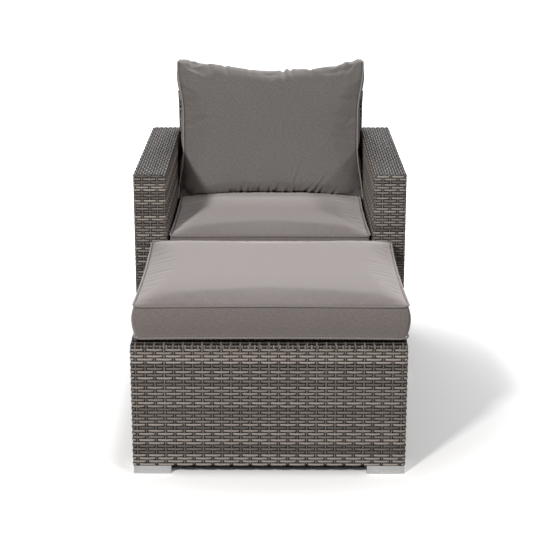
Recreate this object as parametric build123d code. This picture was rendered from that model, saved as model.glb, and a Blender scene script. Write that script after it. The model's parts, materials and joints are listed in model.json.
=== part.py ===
from build123d import *

import os
from math import cos, radians, sin, tan

# A woven garden armchair with loose cushions, and its matching footstool.
# Millimetres. X runs across the chair, +Y towards its back, +Z up.
# The origin lies on the floor, under the middle of the armchair and ottoman together.

# Armchair and ottoman
chair_width = 780.0
chair_depth = 730.0
arm_height = 626.0
arm_width = 95.0
back_height = 755.0
back_foot = 26.0
back_lean = 5.0
back_setback = 8.0
seat_height = 353.0
ottoman_width = 688.0
ottoman_depth = 640.0
ottoman_height = 348.0
ottoman_gap = 12.0

# Woven skin
skin = 4.0
skin_corner = 10.0
skin_edge = 10.0
skin_lip = 20.0
apron_recess = 8.0
panel_gap = 0.3

# Metal tubes
tube_side = 20.0
tube_wall = 1.2
tube_corner = 3.0
back_tube_depth = 40.0
seat_bar_count = 3
ottoman_bar_count = 3

# Feet
foot_height = 22.0
glide_height = 2.0
glide_margin = 4.0
foot_inset = 2.5
foot_leg = 95.0
foot_leg_width = 32.0
foot_round = 3.0
foot_screw_radius = 3.0
foot_screw_length = 32.0
foot_screw_head_radius = 5.5
foot_screw_head = 4.0
foot_screw_reach = 70.0

# Bolts, washers, insert nuts and brackets
bolt_radius = 4.0
bolt_head_radius = 6.5
bolt_head = 5.0
bolt_socket = 3.0
bolt_socket_depth = 3.0
washer_radius = 9.0
washer_thickness = 1.5
nut_radius = 5.5
nut_length = 15.0
nut_flange_radius = 7.5
nut_flange = 1.0
hole_clearance = 0.2
thread_clearance = 0.05
seat_bolt_edge = 90.0
bracket_thickness = 3.0
bracket_height = 60.0
bracket_leg = 40.0
lower_bracket_level = 250.0
upper_bracket_level = 520.0

# Cushions
rest_gap = 0.3
cover = 2.0
cover_gap = 0.3
piping_radius = 3.0
piping_gap = 0.3
seat_cushion_side_gap = 8.0
seat_cushion_front = 2.0
seat_cushion_length = 612.0
seat_cushion_crown = 18.0
ottoman_cushion_width = 668.0
ottoman_cushion_length = 606.0
ottoman_cushion_crown = 18.0
boxing_height = 86.0
base_crown = 6.0
cushion_corner = 22.0
cushion_draw = 6.0
cushion_bulge = 4.5
back_cushion_width = 566.0
back_cushion_height = 407.0
back_cushion_lift = 10.0
back_cushion_boxing = 138.0
back_cushion_crown = 36.0
back_cushion_rear_crown = 12.0
back_cushion_corner = 8.0
back_cushion_side_draw = 11.0
back_cushion_top_draw = 44.0
back_cushion_bottom_draw = 12.0
back_cushion_bulge = 4.0

# Zips
zip_length = 420.0
back_zip_length = 300.0
zip_tape_height = 26.0
zip_tape = 1.0
zip_coil_height = 5.0
zip_coil = 1.2
zip_slider_length = 12.0
zip_slider_height = 10.0
zip_slider_plate = 1.6
zip_running = 0.2
zip_pull_length = 22.0
zip_pull_width = 7.0
zip_pull = 1.4
zip_stop = 10.0

# Shares of the crown's height and of half the cushion's smaller side, from the seam to the top
crown_shares = ((0.40, 0.07), (0.72, 0.18), (0.92, 0.34), (1.0, 0.52))
# Shares of the boxing's height and of its bulge, from the lower seam to the upper one
boxing_shares = ((0.0, 0.0), (0.25, 0.76), (0.5, 1.0), (0.75, 0.76), (1.0, 0.0))
# How much rounder an outline's corners get, as a share of how far it is drawn in from the seam
corner_growth_share = 0.5

# Places worked out from the sizes above
total_depth = chair_depth + ottoman_gap + ottoman_depth
chair_front = total_depth / 2 - chair_depth
chair_rear = total_depth / 2
chair_middle = (chair_front + chair_rear) / 2
ottoman_middle = (ottoman_depth - total_depth) / 2
inner_half = chair_width / 2 - arm_width
panel_half = inner_half - panel_gap
lean = radians(back_lean)
back_thickness = back_tube_depth + 2 * skin
back_top_front = chair_rear - back_setback - back_thickness / cos(lean)
apron_face = chair_front + apron_recess
seat_under = seat_height - skin
seat_rail_mid = seat_under - tube_side / 2
base_rail_mid = foot_height + skin + tube_side / 2
piping_reach = piping_radius + piping_gap


def keep(name, *shapes):
    """Writes the solids of some shapes as one node."""
    solids = [solid for shape in shapes for solid in shape.solids()]
    export_step(Compound(children=solids), f"parts/{name}.step")


def block(low, high):
    """A box between two corners."""
    size = [b - a for a, b in zip(low, high)]
    middle = [(a + b) / 2 for a, b in zip(low, high)]
    return Pos(*middle) * Box(*size)


def across_axis(axis, start, across):
    """A plane square to an axis, at a place along it and at two places across it."""
    if axis == "x":
        return Plane(origin=(start, *across), x_dir=(0, 1, 0), z_dir=(1, 0, 0))
    if axis == "y":
        return Plane(origin=(across[0], start, across[1]), x_dir=(-1, 0, 0), z_dir=(0, 1, 0))
    return Plane(origin=(*across, start), x_dir=(1, 0, 0), z_dir=(0, 0, 1))


def tube(axis, start, end, across, width=tube_side, height=tube_side):
    """A hollow square tube along an axis."""
    outer = RectangleRounded(width, height, tube_corner)
    inner = RectangleRounded(width - 2 * tube_wall, height - 2 * tube_wall, tube_corner - tube_wall)
    return extrude(across_axis(axis, start, across) * (outer - inner), amount=end - start)


def rod(axis, start, end, across, radius):
    """A round bar along an axis."""
    return extrude(across_axis(axis, start, across) * Circle(radius), amount=end - start)


def rod_on(plane, start, end, radius):
    """A round bar along a plane's normal."""
    return extrude(plane.offset(start) * Circle(radius), amount=end - start)


def strip(points, half_width):
    """A piece of even width across the chair, whose end is an outline of (y, z) points."""
    end = Plane(origin=(-half_width, 0, 0), x_dir=(0, 1, 0), z_dir=(1, 0, 0))
    return extrude(end * make_face(Polyline(*points, close=True)), amount=2 * half_width)


def back_front_y(z):
    """Y of the back panel's front face at a height."""
    return back_top_front - (back_height - z) * tan(lean)


def back_rear_y(z):
    """Y of the back panel's rear face at a height."""
    return back_front_y(z) + back_thickness / cos(lean)


# The back panel's own plane: it starts at the top of the front face and looks at the sitter
back_plane = Plane(origin=(0, back_top_front, back_height), x_dir=(1, 0, 0), z_dir=(0, -cos(lean), sin(lean)))


# Woven boxes

def woven_tray(width, depth, top, opening):
    """The woven walls of a box centred on Z, and its woven underside, with an opening if one is given."""
    outer = RectangleRounded(width, depth, skin_corner)
    hollow = Rectangle(width - 2 * skin, depth - 2 * skin)
    under = outer - opening if opening else outer
    floor = foot_height + skin
    walls = extrude(Pos(0, 0, floor) * (outer - hollow), amount=top - skin_edge - floor)
    return walls + extrude(Pos(0, 0, foot_height) * under, amount=skin)


def woven_cap(width, depth, top):
    """The woven top of a box centred on Z, with its rounded edges."""
    cap = extrude(Pos(0, 0, top - skin_edge) * RectangleRounded(width, depth, skin_corner), amount=skin_edge)
    cap = fillet(cap.faces().sort_by(Axis.Z)[-1].edges(), skin_edge - panel_gap)
    hollow = Rectangle(width - 2 * skin, depth - 2 * skin)
    return cap - extrude(Pos(0, 0, top - skin_edge) * hollow, amount=skin_edge - skin)


def corner_posts(width, depth, top):
    """The four upright tubes of a box frame centred on Z."""
    x = width / 2 - skin - tube_side / 2
    y = depth / 2 - skin - tube_side / 2
    return [tube("z", foot_height + skin, top - skin, (i * x, j * y)) for i in (-1, 1) for j in (-1, 1)]


def ring_rails(width, depth, z):
    """The four level tubes between a box frame's posts."""
    x = width / 2 - skin - tube_side / 2
    y = depth / 2 - skin - tube_side / 2
    along_y = [tube("y", tube_side / 2 - y, y - tube_side / 2, (i * x, z)) for i in (-1, 1)]
    along_x = [tube("x", tube_side / 2 - x, x - tube_side / 2, (j * y, z)) for j in (-1, 1)]
    return along_y + along_x


# Feet

def foot_outline(length_x, margin):
    """An L with its corner at the origin and its legs along +X and +Y, drawn in all round by a margin."""
    end_x = length_x - margin
    end_y = foot_leg - margin
    leg = foot_leg_width - margin
    points = [(margin, margin), (end_x, margin), (end_x, leg), (leg, leg), (leg, end_y), (margin, end_y)]
    face = make_face(Polyline(*points, close=True))
    return fillet(face.vertices(), foot_round)


def foot_pieces(length_x, screw_x):
    """A foot, its glide and its screws, with the foot's outer corner at the origin."""
    over_rail = skin + tube_side / 2 - foot_inset
    foot = extrude(Pos(0, 0, glide_height) * foot_outline(length_x, 0), amount=foot_height - glide_height)
    glide = extrude(foot_outline(length_x, glide_margin), amount=glide_height)
    screws = []
    head_top = glide_height + foot_screw_head
    for place in ((screw_x, over_rail), (over_rail, foot_screw_reach)):
        foot -= rod("z", glide_height, foot_height, place, foot_screw_radius + hole_clearance)
        recess_radius = foot_screw_head_radius + hole_clearance
        foot -= rod("z", glide_height, head_top + hole_clearance, place, recess_radius)
        head = rod("z", glide_height, head_top, place, foot_screw_head_radius)
        screws.append(head + rod("z", head_top, glide_height + foot_screw_length, place, foot_screw_radius))
    return foot, glide, screws


def put_feet(owner, corners, width, depth, middle, length_x, screw_x):
    """Sets a foot under each named corner of a box, and gives back all glides and screws."""
    foot, glide, pair = foot_pieces(length_x, screw_x)
    glides, screws = [], []
    for name, i, j in corners:
        for shape in (foot, glide, *pair):
            turned = shape.mirror(Plane.YZ) if i > 0 else shape
            turned = turned.mirror(Plane.XZ) if j > 0 else turned
            corner_x = middle[0] + i * (width / 2 - foot_inset)
            corner_y = middle[1] + j * (depth / 2 - foot_inset)
            placed = Pos(corner_x, corner_y, 0) * turned
            if shape is foot:
                keep(f"{owner}_{name}_foot", placed)
            elif shape is glide:
                glides.append(placed)
            else:
                screws.append(placed)
    return glides, screws


def screw_holes(shape, screws):
    """Opens the holes in which foot screws cut their thread."""
    for screw in screws:
        middle = screw.bounding_box().center()
        top = glide_height + foot_screw_length
        shape -= rod("z", glide_height, top, (middle.X, middle.Y), foot_screw_radius + thread_clearance)
    return shape


# Bolts

def bolt_set(plane, grip):
    """A socket bolt, its washer on the plane, and the insert nut that it reaches below what it clamps."""
    head = rod_on(plane, washer_thickness, washer_thickness + bolt_head, bolt_head_radius)
    socket_floor = plane.offset(washer_thickness + bolt_head - bolt_socket_depth)
    socket = extrude(socket_floor * RegularPolygon(bolt_socket, 6), amount=bolt_socket_depth)
    shank = rod_on(plane, -grip - nut_length, washer_thickness, bolt_radius)
    washer = rod_on(plane, 0, washer_thickness, washer_radius)
    washer -= rod_on(plane, 0, washer_thickness, bolt_radius + hole_clearance)
    nut = rod_on(plane, -grip - nut_length, -grip, nut_radius)
    nut += rod_on(plane, -grip, nut_flange - grip, nut_flange_radius)
    nut -= rod_on(plane, -grip - nut_length, nut_flange - grip, bolt_radius + thread_clearance)
    return head - socket + shank, washer, nut


def bolt_hole(plane, grip):
    """What a bolt and its insert nut take out of the pieces that they go through."""
    shaft = rod_on(plane, -grip, 0, bolt_radius + hole_clearance)
    flange = rod_on(plane, -grip, nut_flange - grip + hole_clearance, nut_flange_radius + hole_clearance)
    seat = rod_on(plane, -grip - nut_length - hole_clearance, -grip, nut_radius + thread_clearance)
    return shaft + flange + seat


def seat_bolt_planes(side):
    """Where the seat frame is bolted to one arm, on the inner face of its side rail."""
    x = side * (inner_half - tube_side)
    places = (apron_face + seat_bolt_edge, back_front_y(seat_rail_mid) - seat_bolt_edge)
    return [Plane(origin=(x, y, seat_rail_mid), x_dir=(0, 1, 0), z_dir=(-side, 0, 0)) for y in places]


def bracket_planes(side, level):
    """Where one back bracket is bolted, on its leg against the arm and on its leg against the back panel."""
    arm_x = side * (inner_half - bracket_thickness)
    arm_y = chair_rear - skin - tube_side / 2
    on_arm = Plane(origin=(arm_x, arm_y, level), x_dir=(0, 1, 0), z_dir=(-side, 0, 0))
    back_x = side * (panel_half - skin - tube_side / 2)
    back_y = back_rear_y(level) + bracket_thickness * cos(lean)
    back_z = level - bracket_thickness * sin(lean)
    on_back = Plane(origin=(back_x, back_y, back_z), x_dir=(1, 0, 0), z_dir=(0, cos(lean), -sin(lean)))
    return on_arm, on_back


seat_grip = tube_side + skin
bracket_grip = bracket_thickness + skin
bracket_levels = (lower_bracket_level, upper_bracket_level)


def back_bracket(side, level):
    """One angle bracket behind the back panel, between it and an arm."""
    low, high = level - bracket_height / 2, level + bracket_height / 2
    low_y, high_y = back_rear_y(low), back_rear_y(high)
    step = bracket_thickness / cos(lean)
    rear = chair_rear - skin
    arm_leg = strip([(low_y, low), (rear, low), (rear, high), (high_y, high)], bracket_thickness / 2)
    back_outline = [(low_y, low), (low_y + step, low), (high_y + step, high), (high_y, high)]
    back_leg = strip(back_outline, bracket_leg / 2)
    arm_leg = Pos(side * (inner_half - bracket_thickness / 2), 0, 0) * arm_leg
    back_leg = Pos(side * (inner_half - bracket_leg / 2), 0, 0) * back_leg
    bracket = arm_leg + back_leg
    for plane in bracket_planes(side, level):
        bracket -= rod_on(plane, -bracket_thickness, 0, bolt_radius + hole_clearance)
    return bracket


def make_bolts():
    """Brackets, bolts, washers and insert nuts that hold the chair together."""
    sets, brackets = [], []
    for side in (-1, 1):
        sets += [bolt_set(plane, seat_grip) for plane in seat_bolt_planes(side)]
        for level in bracket_levels:
            brackets.append(back_bracket(side, level))
            sets += [bolt_set(plane, bracket_grip) for plane in bracket_planes(side, level)]
    keep("back_brackets", *brackets)
    for name, pieces in zip(("frame_bolts", "bolt_washers", "insert_nuts"), zip(*sets)):
        keep(name, *pieces)


# Armchair

def make_arm(side, name, screws):
    """One arm, as its tube frame, its woven sides and its woven top."""
    middle = Pos(side * (chair_width - arm_width) / 2, chair_middle, 0)
    tubes = corner_posts(arm_width, chair_depth, arm_height)
    tubes += ring_rails(arm_width, chair_depth, base_rail_mid)
    tubes += ring_rails(arm_width, chair_depth, arm_height - skin - tube_side / 2)
    rail_end = chair_depth / 2 - skin - tube_side
    rail_x = -side * (arm_width / 2 - skin - tube_side / 2)
    tubes.append(tube("y", -rail_end, rail_end, (rail_x, seat_rail_mid)))
    sides = middle * woven_tray(arm_width, chair_depth, arm_height, None)
    holes = [bolt_hole(plane, seat_grip) for plane in seat_bolt_planes(side)]
    holes += [bolt_hole(bracket_planes(side, level)[0], bracket_grip) for level in bracket_levels]
    for hole in holes:
        sides -= hole
    pieces = []
    for piece in tubes:
        placed = middle * piece
        for hole in holes:
            placed -= hole
        pieces.append(screw_holes(placed, screws))
    keep(f"{name}_arm_frame", *pieces)
    keep(f"{name}_arm_side_weave", screw_holes(sides, screws))
    keep(f"{name}_arm_top_weave", middle * woven_cap(arm_width, chair_depth, arm_height))


def make_chair_feet():
    """Feet under the outer corners of both arms, and the screws of each arm."""
    glides, screws = [], {}
    for side, name in ((-1, "left"), (1, "right")):
        middle = (side * (chair_width - arm_width) / 2, chair_middle)
        corners = [(f"front_{name}", side, -1), (f"rear_{name}", side, 1)]
        length_x = arm_width - 2 * foot_inset
        arm_glides, screws[side] = put_feet(
            "chair", corners, arm_width, chair_depth, middle, length_x, length_x / 2
        )
        glides += arm_glides
    keep("chair_foot_glides", *glides)
    keep("chair_foot_screws", *screws[-1], *screws[1])
    return screws


def make_seat():
    """The seat frame, its woven deck and the woven apron down its front."""
    rear = back_front_y(seat_under - tube_side) - panel_gap
    front = apron_face + skin
    side_x = inner_half - tube_side / 2
    bottom = foot_height + skin
    tubes = [tube("y", front, rear, (i * side_x, seat_rail_mid)) for i in (-1, 1)]
    cross = inner_half - tube_side
    front_rail, rear_rail = front + tube_side / 2, rear - tube_side / 2
    tubes += [tube("x", -cross, cross, (y, seat_rail_mid)) for y in (front_rail, rear_rail)]
    spacing = 2 * inner_half / (seat_bar_count + 1)
    for k in range(seat_bar_count):
        bar_x = (k + 1) * spacing - inner_half
        tubes.append(tube("y", front + tube_side, rear - tube_side, (bar_x, seat_rail_mid)))
    tubes += [tube("z", bottom, seat_under - tube_side, (i * side_x, front_rail)) for i in (-1, 1)]
    tubes.append(tube("x", -cross, cross, (front_rail, base_rail_mid)))
    holes = [bolt_hole(plane, seat_grip) for side in (-1, 1) for plane in seat_bolt_planes(side)]
    pieces = []
    for piece in tubes:
        for hole in holes:
            piece -= hole
        pieces.append(piece)
    keep("seat_frame", *pieces)
    deck_rear = back_front_y(seat_under) - panel_gap
    drop = seat_height - skin_edge
    deck_under_side = [(front, drop), (front, seat_under), (deck_rear, seat_under)]
    deck_top_side = [(deck_rear, seat_height), (apron_face, seat_height), (apron_face, drop)]
    deck = strip(deck_under_side + deck_top_side, panel_half)
    edge = deck.edges().filter_by(Axis.X).group_by(Axis.Z)[-1].sort_by(Axis.Y)[0]
    keep("seat_deck_weave", fillet(edge, skin_edge - panel_gap))
    lip_end = front + skin_lip
    apron_lip = [(apron_face, foot_height), (lip_end, foot_height), (lip_end, bottom)]
    apron_wall = [(front, bottom), (front, drop), (apron_face, drop)]
    keep("seat_apron_weave", strip(apron_lip + apron_wall, panel_half))


def make_back():
    """The back frame and the weave that wraps it all round."""
    length = (back_height - back_foot) / cos(lean)
    bottom = -length
    inner_x = panel_half - skin
    depth = back_thickness
    mid_depth = -depth / 2
    outline = Pos(0, bottom / 2) * RectangleRounded(2 * panel_half, length, skin_corner)
    shell = extrude(back_plane.offset(-depth) * outline, amount=depth)
    shell = fillet(shell.edges().filter_by(GeomType.LINE).filter_by(Axis.X), skin_edge)
    cavity = Rectangle(2 * inner_x, length - 2 * skin)
    shell -= extrude(back_plane.offset(skin - depth) * Pos(0, bottom / 2) * cavity, amount=back_tube_depth)
    bore_corner = tube_corner - tube_wall
    bore_side = tube_side - 2 * tube_wall
    bore_depth = back_tube_depth - 2 * tube_wall
    post = RectangleRounded(tube_side, back_tube_depth, tube_corner)
    post -= RectangleRounded(bore_side, bore_depth, bore_corner)
    tubes = []
    for i in (-1, 1):
        foot = Location((i * (inner_x - tube_side / 2), bottom + skin, mid_depth), (-90, 0, 0))
        start = Plane(back_plane.location * foot)
        tubes.append(extrude(start * post, amount=length - 2 * skin))
    rail = RectangleRounded(back_tube_depth, tube_side, tube_corner)
    rail -= RectangleRounded(bore_depth, bore_side, bore_corner)
    reach = inner_x - tube_side
    seat_level = -(back_height - seat_rail_mid) / cos(lean)
    for level in (-skin - tube_side / 2, seat_level, bottom + skin + tube_side / 2):
        start = Plane(back_plane.location * Location((-reach, level, mid_depth), (0, 90, 0)))
        tubes.append(extrude(start * rail, amount=2 * reach))
    places = [bracket_planes(side, level)[1] for side in (-1, 1) for level in bracket_levels]
    holes = [bolt_hole(plane, bracket_grip) for plane in places]
    pieces = []
    for piece in tubes:
        for hole in holes:
            piece -= hole
        pieces.append(piece)
    for hole in holes:
        shell -= hole
    keep("back_frame", *pieces)
    keep("back_weave", shell)


# Ottoman

def make_ottoman():
    """The ottoman's frame, woven sides, woven deck and feet."""
    middle = Pos(0, ottoman_middle, 0)
    corners = [(f"{y_name}_{x_name}", i, j) for i, x_name in ((-1, "left"), (1, "right"))
               for j, y_name in ((-1, "front"), (1, "rear"))]
    glides, screws = put_feet("ottoman", corners, ottoman_width, ottoman_depth, (0, ottoman_middle), foot_leg,
                              foot_screw_reach)
    keep("ottoman_foot_glides", *glides)
    keep("ottoman_foot_screws", *screws)
    top_rail_mid = ottoman_height - skin - tube_side / 2
    tubes = corner_posts(ottoman_width, ottoman_depth, ottoman_height)
    tubes += ring_rails(ottoman_width, ottoman_depth, base_rail_mid)
    tubes += ring_rails(ottoman_width, ottoman_depth, top_rail_mid)
    rail_inner_x = ottoman_width / 2 - skin - tube_side
    rail_inner_y = ottoman_depth / 2 - skin - tube_side
    spacing = 2 * rail_inner_x / (ottoman_bar_count + 1)
    for k in range(ottoman_bar_count):
        bar_x = (k + 1) * spacing - rail_inner_x
        tubes.append(tube("y", -rail_inner_y, rail_inner_y, (bar_x, top_rail_mid)))
    keep("ottoman_frame", *[screw_holes(middle * piece, screws) for piece in tubes])
    mouth = Rectangle(ottoman_width - 2 * skin - 2 * skin_lip, ottoman_depth - 2 * skin - 2 * skin_lip)
    sides = middle * woven_tray(ottoman_width, ottoman_depth, ottoman_height, mouth)
    keep("ottoman_side_weave", screw_holes(sides, screws))
    keep("ottoman_deck_weave", middle * woven_cap(ottoman_width, ottoman_depth, ottoman_height))


# Cushions

def cushion_outline(width, length, draws, corner):
    """A rectangle with rounded corners whose front, rear and two sides are drawn in between the corners."""
    x, y = width / 2, length / 2
    front, rear, side = draws
    corners = [(-x, -y), (x, -y), (x, y), (-x, y)]
    middles = [(0, front - y), (x - side, 0), (0, y - rear), (side - x, 0)]
    edges = []
    for k, (middle, draw) in enumerate(zip(middles, (front, side, rear, side))):
        start, end = corners[k], corners[(k + 1) % len(corners)]
        edges.append(ThreePointArc(start, middle, end) if draw else Line(start, end))
    face = make_face(edges)
    return fillet(face.vertices(), corner)


def cushion_form(width, length, draws, corner, boxing, bulge, crown, base, inset):
    """A crowned cushion with its lower seam on Z zero, drawn in all round by an inset."""
    half = min(width, length) / 2
    low, high = inset, boxing - inset

    def level(z, grow, share):
        drawn = [draw * (1 - share) for draw in draws]
        size_x = width + 2 * grow - 2 * inset
        size_y = length + 2 * grow - 2 * inset
        radius = corner - inset + corner_growth_share * share * half
        return Pos(0, 0, z) * cushion_outline(size_x, size_y, drawn, radius)

    sides = loft([level(low + s * (high - low), b * bulge, 0) for s, b in boxing_shares])
    top = loft([level(high, 0, 0)] + [level(high + h * crown, -w * half, w) for h, w in crown_shares])
    flat_to_seam = [level(low - h * base, -w * half, w) for h, w in reversed(crown_shares)]
    return loft(flat_to_seam + [level(low, 0, 0)]) + sides + top


def piping_loop(width, length, draws, z):
    """A closed run of piping round a seam."""
    reach = 2 * piping_reach
    path = Pos(0, 0, z) * cushion_outline(width + reach, length + reach, draws, cushion_corner + piping_reach)
    wire = path.wires()[0]
    section = Plane(origin=wire @ 0, z_dir=wire % 0) * Circle(piping_radius)
    return sweep(section, path=wire)


def zip_pieces(length, start_x):
    """A zip along X on the XZ plane, facing +Y: tape and coil in one, and its slider with a pull."""
    tape = block((-length / 2, 0, -zip_tape_height / 2), (length / 2, zip_tape, zip_tape_height / 2))
    coil_face = zip_tape + zip_coil
    coil = block((-length / 2, zip_tape, -zip_coil_height / 2), (length / 2, coil_face, zip_coil_height / 2))
    face = coil_face + zip_running + zip_slider_plate
    low, high = start_x, start_x + zip_slider_length
    body = block((low, zip_tape + zip_running, -zip_slider_height / 2), (high, face, zip_slider_height / 2))
    slot = zip_coil_height / 2 + zip_running
    body -= block((low, zip_tape + zip_running, -slot), (high, coil_face + zip_running, slot))
    middle = (low + high) / 2
    pull = block((middle - zip_pull_width / 2, face - zip_pull, -zip_slider_height / 2 - zip_pull_length),
                 (middle + zip_pull_width / 2, face, -zip_slider_height / 2))
    return tape + coil, body + pull


def make_box_cushion(name, width, length, crown, centre_y, rest_z):
    """A box cushion lying flat: cover, foam, piping round both seams, and a zip along its rear boxing."""
    draws = (cushion_draw, 0, cushion_draw)
    at = Pos(0, centre_y, rest_z + rest_gap + base_crown)

    def form(inset):
        heights = boxing_height, cushion_bulge, crown, base_crown
        return cushion_form(width, length, draws, cushion_corner, *heights, inset)

    keep(f"{name}_cover", at * (form(0) - form(cover)))
    keep(f"{name}_foam", at * form(cover + cover_gap))
    keep(f"{name}_piping", *[at * piping_loop(width, length, draws, z) for z in (0, boxing_height)])
    tape, slider = zip_pieces(zip_length, zip_stop - zip_length / 2)
    on_boxing = at * Pos(0, length / 2 + cushion_bulge + cover_gap, boxing_height / 2)
    keep(f"{name}_zip", on_boxing * tape)
    keep(f"{name}_zip_slider", on_boxing * slider)


def side_welt(side):
    """The piping round one side panel of the back cushion: up, over, down and under."""
    x = side * (back_cushion_width / 2 + piping_reach)
    y = back_cushion_height / 2 + piping_reach
    rear, front = 0, back_cushion_boxing
    bowed_x = x - side * back_cushion_side_draw
    bulged_x = x + side * back_cushion_bulge
    bulged_y = y + back_cushion_bulge
    runs = [ThreePointArc((x, -y, z), (bowed_x, 0, z), (x, y, z)) for z in (rear, front)]
    runs.append(ThreePointArc((x, y, rear), (bulged_x, bulged_y, front / 2), (x, y, front)))
    runs.append(ThreePointArc((x, -y, rear), (bulged_x, -bulged_y, front / 2), (x, -y, front)))
    pieces = [sweep(Plane(origin=run @ 0, z_dir=run % 0) * Circle(piping_radius), path=run) for run in runs]
    pieces += [Pos(x, end, z) * Sphere(piping_reach) for end in (-y, y) for z in (rear, front)]
    return pieces[0].fuse(*pieces[1:])


def make_back_cushion():
    """The back cushion, which stands on the seat cushion and leans on the back panel."""
    draws = (back_cushion_bottom_draw, back_cushion_top_draw, back_cushion_side_draw)

    def form(inset):
        heights = back_cushion_boxing, back_cushion_bulge, back_cushion_crown, back_cushion_rear_crown
        return cushion_form(
            back_cushion_width, back_cushion_height, draws, back_cushion_corner, *heights, inset
        )

    off_panel = rest_gap + back_cushion_rear_crown
    seat_seam = seat_height + rest_gap + base_crown + boxing_height
    centre_z = seat_seam + back_cushion_lift + back_cushion_height / 2 * cos(lean)
    along = (back_height + off_panel * sin(lean) - centre_z) / cos(lean)
    at = back_plane.location * Pos(0, -along, off_panel)
    keep("back_cushion_cover", at * (form(0) - form(cover)))
    keep("back_cushion_fill", at * form(cover + cover_gap))
    keep("back_cushion_piping", at * side_welt(-1), at * side_welt(1))
    tape, slider = zip_pieces(back_zip_length, zip_stop - back_zip_length / 2)
    end_share = (back_zip_length / back_cushion_width) ** 2
    bottom = back_cushion_bulge + cover_gap - back_cushion_bottom_draw * (1 - end_share)
    facing_down = Location((0, -back_cushion_height / 2 - bottom, back_cushion_boxing / 2), (180, 0, 0))
    keep("back_cushion_zip", at * facing_down * tape)
    keep("back_cushion_zip_slider", at * facing_down * slider)


os.makedirs("parts", exist_ok=True)
arm_screws = make_chair_feet()
make_arm(-1, "left", arm_screws[-1])
make_arm(1, "right", arm_screws[1])
make_seat()
make_back()
make_bolts()
make_ottoman()
seat_cushion_width = 2 * (inner_half - seat_cushion_side_gap)
seat_cushion_middle = apron_face + seat_cushion_front + seat_cushion_length / 2
make_box_cushion("seat_cushion", seat_cushion_width, seat_cushion_length, seat_cushion_crown,
                 seat_cushion_middle, seat_height)
make_box_cushion("ottoman_cushion", ottoman_cushion_width, ottoman_cushion_length, ottoman_cushion_crown,
                 ottoman_middle, ottoman_height)
make_back_cushion()
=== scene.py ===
import json
import math
import random

import bmesh
import bpy
import numpy as np
from mathutils import Matrix, Vector


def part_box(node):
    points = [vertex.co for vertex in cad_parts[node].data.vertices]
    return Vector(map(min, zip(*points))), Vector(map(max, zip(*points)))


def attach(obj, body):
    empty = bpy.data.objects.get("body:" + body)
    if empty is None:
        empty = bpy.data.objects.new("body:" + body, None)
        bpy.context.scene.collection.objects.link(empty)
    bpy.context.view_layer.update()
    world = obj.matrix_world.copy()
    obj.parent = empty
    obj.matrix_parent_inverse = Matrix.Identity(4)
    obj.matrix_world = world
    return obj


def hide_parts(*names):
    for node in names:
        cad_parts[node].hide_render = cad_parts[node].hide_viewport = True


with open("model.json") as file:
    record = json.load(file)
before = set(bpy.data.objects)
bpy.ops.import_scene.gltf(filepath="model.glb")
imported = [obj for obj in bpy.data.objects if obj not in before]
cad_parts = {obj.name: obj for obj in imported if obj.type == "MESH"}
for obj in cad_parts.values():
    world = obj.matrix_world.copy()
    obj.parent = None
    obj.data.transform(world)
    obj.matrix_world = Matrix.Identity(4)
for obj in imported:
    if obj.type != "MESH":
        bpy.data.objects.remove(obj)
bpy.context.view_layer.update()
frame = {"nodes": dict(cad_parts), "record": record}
random.seed(11)

# Metres. X runs across the chair, +Y towards its back, +Z up, as in the frame.
MM = 0.001

# Places taken from the frame
arm_low, arm_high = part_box("left_arm_side_weave")
right_arm_low, right_arm_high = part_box("right_arm_side_weave")
arm_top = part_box("left_arm_top_weave")[1].z
ottoman_low, ottoman_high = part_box("ottoman_side_weave")
ottoman_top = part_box("ottoman_deck_weave")[1].z
deck_low, deck_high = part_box("seat_deck_weave")
apron_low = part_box("seat_apron_weave")[0]
CHAIR_FRONT = arm_low.y
CHAIR_REAR = arm_high.y

# The back panel leans, so its own sizes are repeated here
BACK_LEAN = math.radians(5)
BACK_HEIGHT = 755 * MM
BACK_FOOT = 26 * MM
BACK_SETBACK = 8 * MM
BACK_THICKNESS = 48 * MM
BACK_SPREAD = 0.028
BACK_SPREAD_FROM = 600 * MM
BACK_SPREAD_OVER = 130 * MM

# Strands: half-round wefts over and under flat stakes, within the skin's thickness but for the crests
WEFT_SHARE = 0.96
WEFT_HEIGHT = 2.1 * MM
STAKE_WIDTH = 5.6 * MM
STAKE_HEIGHT = 1.2 * MM
CREST = 0.5 * MM
ROW_PITCH = 7.8 * MM
OTTOMAN_ROW_PITCH = 8.2 * MM
DECK_PITCH = 7.8 * MM
EDGE_RADIUS = 9.7 * MM
TOP_RADIUS = 6 * MM
LIP = 22 * MM
ARM_STAKES = 76
OTTOMAN_STAKES = 112
BACK_STAKES = 52
SHEET_STAKES = 25
ARM_RIM = 1.5 * MM
OTTOMAN_RIM = 12.5 * MM
RIM_MARGIN = 2 * MM
SHEET_MARGIN = 1 * MM
FIRST_STAKE = 10 * MM
OVER = CREST - WEFT_HEIGHT
SHOULDER = OVER - 1.2 * MM
STAKE_FLOOR = OVER - STAKE_HEIGHT
UNDER = STAKE_FLOOR - WEFT_HEIGHT
# How far below its crest a top strand's painted shade is full
DECK_DARK = OVER - 1.6 * MM
DIVE_END = STAKE_WIDTH / 2 + 0.3 * MM
DIVE_START = STAKE_WIDTH / 2 + 2.6 * MM
DECK_DIVE_START = STAKE_WIDTH / 2 + 7.0 * MM
RECESS = 24 * MM
RIM_SHARE = 0.55
TUCK = 2.5 * MM
RIM_STAKE_UP = 1.5 * MM
UNDER_WRAP = -4 * MM
ROW_JITTER = 0.2 * MM
ROW_WIDTHS = (0.97, 1.0)
KNOT_GAP = 1 * MM
LONG_SIDE_FACING = 0.99
WELD_DISTANCE = 0.002 * MM
STRAND_SMOOTH = 60
ROWS_IN_ONE_PIECE = 60

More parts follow.
